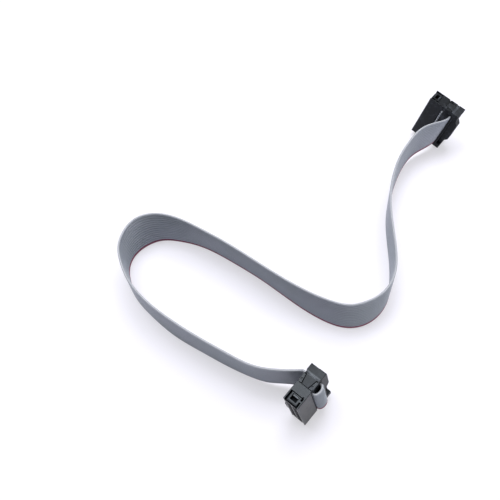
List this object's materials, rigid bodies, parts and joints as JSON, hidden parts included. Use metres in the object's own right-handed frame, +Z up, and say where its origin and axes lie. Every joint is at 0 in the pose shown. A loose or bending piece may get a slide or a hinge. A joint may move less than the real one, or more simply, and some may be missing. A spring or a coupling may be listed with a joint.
{
  "type": "ribbon cable",
  "caption": "Flat grey ribbon cable standing on edge in an S curve, with a black two-row pin-header socket, cover and strain relief on each end and a dark red stripe along one edge.",
  "frame": {"origin": "on the surface the cable stands on, at the middle of the box round the two sockets", "axes": "+Z up, +Y from socket B to socket A as the cable lies, +X to the right seen from -Y"},
  "size_m": [0.1435, 0.1398, 0.0247],
  "materials": {
    "ribbon": "satin grey PVC, fine lengthwise ridges, dark red stripe on the lower edge",
    "connector_plastic": "black glass-filled polyester, matte",
    "contact_metal": "gold-plated phosphor bronze strip"
  },
  "bodies": {
    "root": {"ribbon": "ribbon", "connector_a_body": "connector_plastic", "connector_a_cover": "connector_plastic", "connector_a_strain_relief": "connector_plastic", "contact_a_01": "contact_metal", "contact_a_02": "contact_metal", "contact_a_03": "contact_metal", "contact_a_04": "contact_metal", "contact_a_05": "contact_metal", "contact_a_06": "contact_metal", "contact_a_07": "contact_metal", "contact_a_08": "contact_metal", "contact_a_09": "contact_metal", "contact_a_10": "contact_metal", "contact_a_11": "contact_metal", "contact_a_12": "contact_metal", "contact_a_13": "contact_metal", "contact_a_14": "contact_metal", "connector_b_body": "connector_plastic", "connector_b_cover": "connector_plastic", "connector_b_strain_relief": "connector_plastic", "contact_b_01": "contact_metal", "contact_b_02": "contact_metal", "contact_b_03": "contact_metal", "contact_b_04": "contact_metal", "contact_b_05": "contact_metal", "contact_b_06": "contact_metal", "contact_b_07": "contact_metal", "contact_b_08": "contact_metal", "contact_b_09": "contact_metal", "contact_b_10": "contact_metal", "contact_b_11": "contact_metal", "contact_b_12": "contact_metal", "contact_b_13": "contact_metal", "contact_b_14": "contact_metal"}
  },
  "joints": []
}
